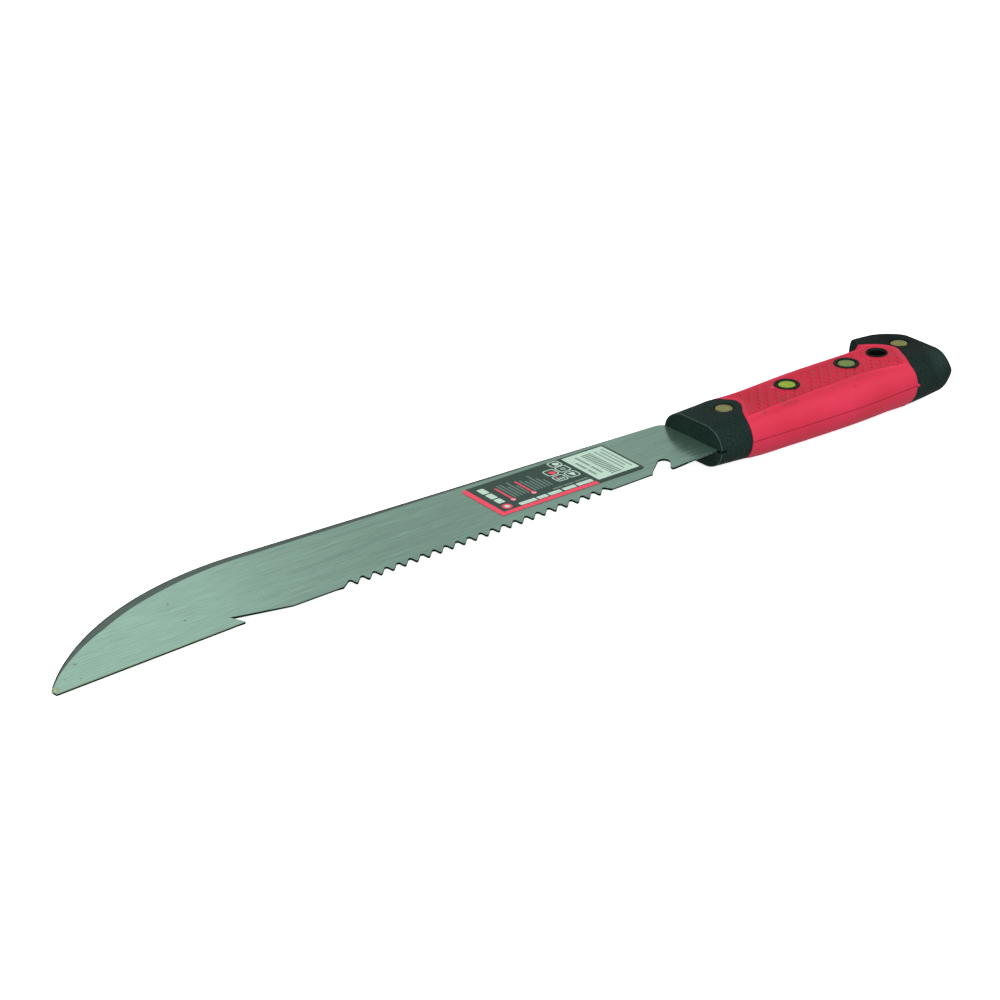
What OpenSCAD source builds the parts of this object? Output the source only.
// Machete-type drywall knife: one steel plate with a saw back, two moulded handle scales with soft
// grip skins, and four cutlery rivets. It lies on its side, with its blade in a level plane, the
// handle towards +X and the curved, ground edge towards +Y. All sizes are in millimetres.

/* [Blade] */
// Length of the blade in front of the handle
blade_l = 305.4; // [300:0.1:330]
// Height of the blade at the top of its curve, above the line of the teeth
blade_h = 48.4; // [46:0.2:50]
// Thickness of the steel plate
blade_t = 1; // [0.9:0.1:2]
// Radius of the curved edge that runs down to the tip
belly_r = 130; // [120:1:140]
// Angle at which the straight part of the ground edge falls towards the handle
taper_deg = 4.1; // [3.6:0.1:4.4]
// Radius of the tip's upper corner
tip_r = 2.2; // [1:0.2:5]
// Height of the middle of that corner above the line of the teeth
tip_y = 1.8; // [1:0.2:4]
// Width of the bevel ground along the belly
bevel_w = 3; // [1:0.2:4]
// Thickness left at the ground edges
edge_t = 0.5; // [0.3:0.1:0.8]

/* [Teeth and notches] */
// Number of teeth
tooth_count = 23; // [10:1:23]
// Distance from tooth tip to tooth tip
tooth_pitch = 5.5; // [4.5:0.1:5.6]
// Depth of the gullets
tooth_depth = 3.9; // [2.5:0.1:4.5]
// Distance of the last tooth from the front of the handle
tooth_gap = 55.3; // [50:0.1:60]
// Depth of the big hook near the tip
hook_depth = 7.6; // [6:0.2:10]

/* [Handle] */
// Length of the handle
handle_l = 127.2; // [125:0.2:135]
// Thickness of the handle across both grips
handle_t = 20; // [18:0.5:24]
// Thickness of the soft skin over the hard core
skin_t = 2; // [1.2:0.1:2.5]
// Diameter of the lanyard hole
lanyard_d = 7.2; // [5:0.2:7.6]

/* [Rivets] */
// Diameter of the rivet heads
head_d = 7.1; // [6:0.1:7.6]
// Thickness of the rivet heads
head_t = 1; // [0.8:0.1:1.5]
// Outer diameter of the rivets' barrels
barrel_d = 5; // [4.5:0.1:5.6]
// Diameter of the rivets' posts
post_d = 3.5; // [2.5:0.1:3.8]

/* [Label] */
// Length of the label
label_l = 69.2; // [50:0.2:72]
// Width of the label
label_w = 27.2; // [18:0.2:27.6]
// Thickness of the label
label_t = 0.12; // [0.1:0.01:0.3]

/* [Hidden] */
$fn = 64;
EPS = 0.01;

// Until place() moves it, everything is drawn with x = 0 at the front of the handle, y = 0 on the
// line where the sides of the teeth would meet in points, and z = 0 in the middle of the plate.
plate_z = blade_t / 2;
grip_z = handle_t / 2;

// Centre of the tip's small radius and of the belly's big one, which meet in a tangent
belly_y = blade_h - belly_r;
tip_reach = sqrt(pow(belly_r - tip_r, 2) - pow(belly_y - tip_y, 2));
belly_x = tip_r + tip_reach - blade_l;
tip_c = [belly_x - tip_reach, tip_y];
tip_deg = 180 - atan((tip_y - belly_y) / tip_reach);

// Toothed stretch, and the hook between it and the tip
saw_x = -tooth_gap - tooth_count * tooth_pitch;
hook_from_tip = 80.6;
hook_tip_x = hook_from_tip - blade_l;
hook_lean = 2.6;
hook_ramp = 23;
tooth_tip_w = 0.8;
tooth_blunt = 0.55;
gullet_r = 0.8;
gullet_at = 0.81;

// y of the lower edge, which is tooth_blunt at the teeth: at the blade's tip, at the tip of the hook,
// at the land in front of the first tooth, behind the last tooth, behind the notch and at the handle
front_y = -0.9;
hook_y = 1.35;
land_y = 0.8;
heel_front_y = 0.75;
heel_step = 1.3;
heel_front_x = heel_step - tooth_gap;
heel_dip_y = -0.1;
heel_rise = 1.4;

// The belly's bevel ends in front of the label, and the lower edge has a light, narrow one up to the hook
bevel_end_x = -103;
low_bevel_w = 1.6;
low_edge_t = blade_t - 0.2;

// Undercut notch next to the handle
notch_c = [-22.9, 6.6];
notch_r = 2.5;
notch_mouth_x = [-33.8, -24];

// The straight part of the belly's edge starts at belly_end and stops at the tang's shoulder
belly_end = [belly_x, belly_y] + belly_r * [sin(taper_deg), cos(taper_deg)];
shoulder_x = -3;
shoulder_y = belly_end[1] - tan(taper_deg) * (shoulder_x - belly_end[0]);
shoulder_drop = 1.7;

// The tang narrows behind the front of the handle and ends in two rounds
tang_in_x = 12;
tang_end_x = handle_l - 8;
tang_low = 6;
tang_high = 25;
tang_end_r = 6;
fit_gap = 0.3;

// Places of the rivets and of the lanyard hole
rivets = [[16, 15], [50, 15], [83, 15], [113.8, 15.9]];
lanyard = [99.7, 14.5];
recess_d = head_d + 0.9;
recess_gap = 0.3;
ring_d = 10.4;
lanyard_ring_d = lanyard_d + 1.6;
tang_eye_d = lanyard_ring_d + 0.6;
lanyard_rim = 0.4;
lanyard_flare = 1;
barrel_gap = 0.2;
post_gap = 0.03;

// How far the posts and the barrels stop short of the opposite seat, and the floor under each post's hole
post_short = 2.5;
barrel_short = 0.5;
bore_floor = 1.5;

// Where the adhesive label lies
label_c = [-66.3, 21.5];
label_deg = -2;

// The drop of lacquer on the tip is a lens round the steel
drop_c = [1.25 - blade_l, 1.8];
drop_r = 1.5;
drop_z = plate_z + 0.7;

// Open end of the tang's pocket, next to the blade's heel
mouth_x = 2.6;
mouth_y = 8;

// Long edges of the handle, from the front to the butt, and the beak that juts out behind the fingers.
// The palm edge bows out a little, so that the heel of the hand rests on it.
palm_edge = [[0, -1.7], [18, -2.4], [45, -4.2], [75, -5.5], [105, -4.8], [handle_l, -4.3]];
finger_edge = [[0, 32.2], [14, 30.2], [30, 27.8], [60, 28.6], [98, 27.6]];
beak_x = 99.5;
beak_y = 32.2;
beak_front_r = 2.4;

// Height of the broad faces over the plate's middle, as [x, z]: they are flat across the grips
faces = [
    [0, grip_z - 1.3], [14, grip_z - 0.6], [30, grip_z], [92, grip_z],
    [102, grip_z + 0.3], [120, grip_z - 0.3]];

// Lengths over which the butt rounds off, as seen from above and from the side
butt_palm = [5.7, 2.6];
butt_finger = [18.4, 20.4];
butt_rim = [6, 8.5];

// Width of the rounding of the long edges, as [x, width]
palm_rounding = [[0, 10], [25, 7.8], [105, 7.8], [handle_l, 9]];
finger_rounding = [[0, 12], [16, 7.6], [98, 7.6], [beak_x, 2.2], [handle_l, 6]];

// Ends of the soft skin, seen from above, from the palm side to the finger side
skin_front = [
    [17, -9], [16.2, -0.5], [17.6, 5.4], [22.6, 12.2], [23.4, 17], [20.6, 21.2], [18.6, 26], [18, 38]];
skin_back = [
    [105.2, -9], [104.5, -4.5], [103.4, -0.5], [106.4, 6.2], [109, 12], [108.2, 16.8], [104.5, 21],
    [100.2, 24.4], [98.6, 28], [98.4, 38]];

// A point of the smooth curve through the points p, at share t of the step after point i
function spline(p, i, t) =
    let (a = p[max(i - 1, 0)], b = p[i], c = p[i + 1], d = p[min(i + 2, len(p) - 1)])
    (2 * b + t * (c - a) + t * t * (2 * a - 5 * b + 4 * c - d) + t * t * t * (3 * b - a - 3 * c + d)) / 2;

// The whole curve through the points p, with n steps from each to the next
function curve(p, n = 6) = concat(
    [for (i = [0 : len(p) - 2], k = [0 : n - 1]) spline(p, i, k / n)],
    [p[len(p) - 1]]);

function reverse(p) = [for (i = [len(p) - 1 : -1 : 0]) p[i]];

function arc(centre, r, from, to, n = 24) =
    [for (i = [0 : n]) let (a = from + (to - from) * i / n) centre + r * [cos(a), sin(a)]];

// How far an elliptic corner, w long and h high, has fallen back at distance d from its end
function fall(w, h, d) = d >= w ? 0 : h * (1 - sqrt(max(0, 1 - pow((w - d) / w, 2))));

palm_curve = curve(palm_edge);
finger_curve = curve(finger_edge);

function palm_y(x) = lookup(x, palm_curve) + fall(butt_palm[0], butt_palm[1], handle_l - x);
function beak(x) =
    beak_y - fall(beak_front_r, beak_front_r, x - beak_x)
    - fall(butt_finger[0], butt_finger[1], handle_l - x);
function finger_y(x) = x < beak_x ? lookup(x, finger_curve) : beak(x);
function top_z(x) = lookup(x, faces) - fall(butt_rim[0], butt_rim[1], handle_l - x);

function quarter(y, w, z, from, to, n = 10) =
    [for (i = [0 : n]) let (a = from + (to - from) * i / n) [y + w * cos(a), z * sin(a)]];

// Upper half of the handle's section at x, s inside its outside, from the palm to the fingers
function half_section(x, s) =
    let (
        y0 = palm_y(x) + s,
        y1 = finger_y(x) - s,
        z = top_z(x) - s,
        w0 = lookup(x, palm_rounding) - s,
        w1 = lookup(x, finger_rounding) - s,
        fit = min(1, (y1 - y0) / (w0 + w1)))
    concat(quarter(y0 + fit * w0, fit * w0, z, 180, 90), quarter(y1 - fit * w1, fit * w1, z, 90, 0));

stations = concat(
    [for (x = [0 : 4 : 96]) x],
    [beak_x - 2 * EPS],
    [for (a = [0 : 30 : 90]) beak_x + beak_front_r * (1 - cos(a))],
    [(beak_x + beak_front_r + handle_l - butt_finger[0]) / 2],
    [for (a = [0 : 9 : 90]) handle_l - butt_finger[0] * (1 - sin(a))]);

// Upper half of the handle, s inside its outside
module half_handle(s) {
    rings = [for (x = stations) [for (p = half_section(x, s)) [x, p[0], p[1]]]];
    n = len(rings[0]);
    last = len(rings) - 1;
    front = [for (j = [n - 1 : -1 : 0]) j];
    back = [for (j = [0 : n - 1]) last * n + j];
    sides = [for (i = [0 : last - 1], j = [0 : n - 1])
        let (a = i * n + j, b = i * n + (j + 1) % n) each [[a, b, b + n], [a, b + n, a + n]]];
    polyhedron(points = [for (r = rings) each r], faces = concat([front, back], sides));
}

// Height of the seat of the head of the rivet at p
function seat_z(p) = top_z(p[0]) - recess_gap - head_t;

// Moves the middle of the object's box to x = 0 and y = 0, and its underside to z = 0
module place() {
    box_z = max([for (x = stations) top_z(x)]);
    box_x = [drop_c[0] - drop_r, handle_l];
    box_y = [min([for (x = stations) palm_y(x)]), blade_h];
    translate([-(box_x[0] + box_x[1]) / 2, -(box_y[0] + box_y[1]) / 2, box_z]) children();
}

// ---- Blade ----

// g widens the tang, for its pocket in the scales
function tang_outline(g) = concat(
    [[0, heel_rise - g], [tang_in_x, tang_low - g]],
    arc([tang_end_x - tang_end_r, tang_low + tang_end_r], tang_end_r + g, 270, 360, 8),
    arc([tang_end_x - tang_end_r, tang_high - tang_end_r], tang_end_r + g, 0, 90, 8),
    [[tang_in_x, tang_high + g], [0, shoulder_y - shoulder_drop + g]]);

function gullet(x) =
    arc([x + gullet_at * tooth_pitch, tooth_depth - gullet_r], gullet_r, 130, 20, 4);

function tooth_tip(x) = [[x - 0.1, tooth_blunt], [x - 0.1 + tooth_tip_w, tooth_blunt]];

blade_outline = concat(
    arc(tip_c, tip_r, tip_deg, 180, 8),
    [[-blade_l, front_y], [hook_tip_x, hook_y]],
    [[hook_tip_x - hook_lean, hook_depth], [hook_tip_x - hook_lean + hook_ramp, land_y], [saw_x, land_y]],
    gullet(saw_x),
    [for (k = [1 : tooth_count - 1]) let (x = saw_x + k * tooth_pitch) each concat(tooth_tip(x), gullet(x))],
    [[heel_front_x, heel_front_y], [notch_mouth_x[0], heel_front_y]],
    arc(notch_c, notch_r, 125, -40),
    [[notch_mouth_x[1], heel_dip_y]],
    tang_outline(0),
    [[shoulder_x, shoulder_y]],
    arc([belly_x, belly_y], belly_r, 90 - taper_deg, tip_deg, 60));

// Section of what grinding takes off one face, for an edge at x = 0, t thick, with its bevel w wide
module ground_off(w, t) {
    slope = (plate_z - t / 2) / w;
    polygon([[-w, plate_z], [1, t / 2 - slope], [1, plate_z + 1], [-w, plate_z + 1]]);
}

module upper_bevels() {
    straight = (bevel_end_x - belly_end[0]) / cos(taper_deg);
    translate([belly_x, belly_y, 0])
        rotate([0, 0, 90 - taper_deg])
            rotate_extrude(angle = tip_deg + 3 - 90 + taper_deg)
                translate([belly_r, 0]) ground_off(bevel_w, edge_t);
    translate([belly_end[0], belly_end[1], 0])
        rotate([0, 0, -taper_deg])
            rotate([90, 0, 90])
                linear_extrude(straight) ground_off(bevel_w, edge_t);
    translate([hook_tip_x, hook_y, 0])
        rotate([0, 0, atan((hook_y - front_y) / (hook_tip_x + blade_l))])
            translate([1, 0, 0])
                rotate([90, 0, -90])
                    linear_extrude(hook_tip_x + 2 + blade_l) ground_off(low_bevel_w, low_edge_t);
}

module blade() {
    place() color("silver") difference() {
        translate([0, 0, -plate_z]) linear_extrude(blade_t) polygon(blade_outline);
        upper_bevels();
        mirror([0, 0, 1]) upper_bevels();
        for (p = rivets) hole(p, barrel_d + 2 * barrel_gap);
        hole(lanyard, tang_eye_d);
    }
}

module tip_guard() {
    lens_r = (pow(drop_r, 2) + pow(drop_z, 2)) / (2 * drop_z);
    lens_deg = asin(drop_r / lens_r);
    upper_arc = arc([0, drop_z - lens_r], lens_r, 90, 90 - lens_deg, 8);
    place() color("khaki") difference() {
        translate([drop_c[0], drop_c[1], 0])
            rotate_extrude()
                polygon(concat(upper_arc, [for (i = [7 : -1 : 0]) [upper_arc[i][0], -upper_arc[i][1]]]));
        translate([0, 0, -plate_z]) linear_extrude(blade_t) polygon(blade_outline);
    }
}

module blade_label() {
    place() color("dimgray")
        translate([label_c[0], label_c[1], plate_z])
            rotate([0, 0, label_deg])
                translate([-label_l / 2, -label_w / 2, 0]) cube([label_l, label_w, label_t]);
}

// ---- Handle ----

// Round hole of diameter d through the whole handle at p
module hole(p, d) {
    translate([p[0], p[1], -handle_t]) cylinder(d = d, h = 2 * handle_t);
}

// Space that the upper soft skin takes, before the handle's outside trims it
module skin_space() {
    difference() {
        translate([0, 0, -1]) linear_extrude(handle_t)
            polygon(concat(curve(skin_front), reverse(curve(skin_back))));
        half_handle(skin_t);
        for (p = [rivets[1], rivets[2]]) hole(p, ring_d);
        hole(lanyard, lanyard_ring_d);
    }
}

module scale_half() {
    flare_r = lanyard_ring_d / 2 - lanyard_rim;
    difference() {
        half_handle(0);
        skin_space();
        translate([0, 0, -1]) linear_extrude(1 + plate_z)
            polygon(concat([[-1, 0]], tang_outline(fit_gap), [[-1, 34]]));
        translate([-1, -mouth_y, -1]) cube([1 + mouth_x, 2 * mouth_y, 1 + plate_z]);
        for (p = rivets) {
            hole(p, barrel_d + 2 * barrel_gap);
            translate([p[0], p[1], seat_z(p)]) cylinder(d = recess_d, h = handle_t);
        }
        hole(lanyard, lanyard_d);
        translate([lanyard[0], lanyard[1], top_z(lanyard[0]) - lanyard_flare])
            cylinder(r1 = lanyard_d / 2, r2 = flare_r + EPS, h = lanyard_flare + EPS);
    }
}

module grip_half() {
    intersection() {
        half_handle(0);
        skin_space();
    }
}

module upper_scale() {
    place() color("darkslategray") scale_half();
}

module lower_scale() {
    place() color("darkslategray") mirror([0, 0, 1]) scale_half();
}

module upper_grip() {
    place() color("crimson") grip_half();
}

module lower_grip() {
    place() color("crimson") mirror([0, 0, 1]) grip_half();
}

// ---- Rivets ----

// Headed post that enters from above, for the rivet at p
module rivet_post(p) {
    place() color("goldenrod") translate([p[0], p[1], 0]) {
        translate([0, 0, seat_z(p)]) cylinder(d = head_d, h = head_t);
        translate([0, 0, post_short - seat_z(p)]) cylinder(d = post_d, h = 2 * seat_z(p) - post_short + EPS);
    }
}

// Headed sleeve that takes the post from below
module rivet_sleeve(p) {
    place() color("goldenrod") translate([p[0], p[1], 0]) difference() {
        union() {
            translate([0, 0, -seat_z(p) - head_t]) cylinder(d = head_d, h = head_t);
            translate([0, 0, -seat_z(p) - EPS]) cylinder(d = barrel_d, h = 2 * seat_z(p) - barrel_short);
        }
        translate([0, 0, bore_floor - seat_z(p)]) cylinder(d = post_d + 2 * post_gap, h = handle_t);
    }
}

module front_rivet_post() { rivet_post(rivets[0]); }
module mid_front_rivet_post() { rivet_post(rivets[1]); }
module mid_rear_rivet_post() { rivet_post(rivets[2]); }
module rear_rivet_post() { rivet_post(rivets[3]); }
module front_rivet_sleeve() { rivet_sleeve(rivets[0]); }
module mid_front_rivet_sleeve() { rivet_sleeve(rivets[1]); }
module mid_rear_rivet_sleeve() { rivet_sleeve(rivets[2]); }
module rear_rivet_sleeve() { rivet_sleeve(rivets[3]); }

blade();
tip_guard();
blade_label();
upper_scale();
lower_scale();
upper_grip();
lower_grip();
front_rivet_post();
mid_front_rivet_post();
mid_rear_rivet_post();
rear_rivet_post();
front_rivet_sleeve();
mid_front_rivet_sleeve();
mid_rear_rivet_sleeve();
rear_rivet_sleeve();
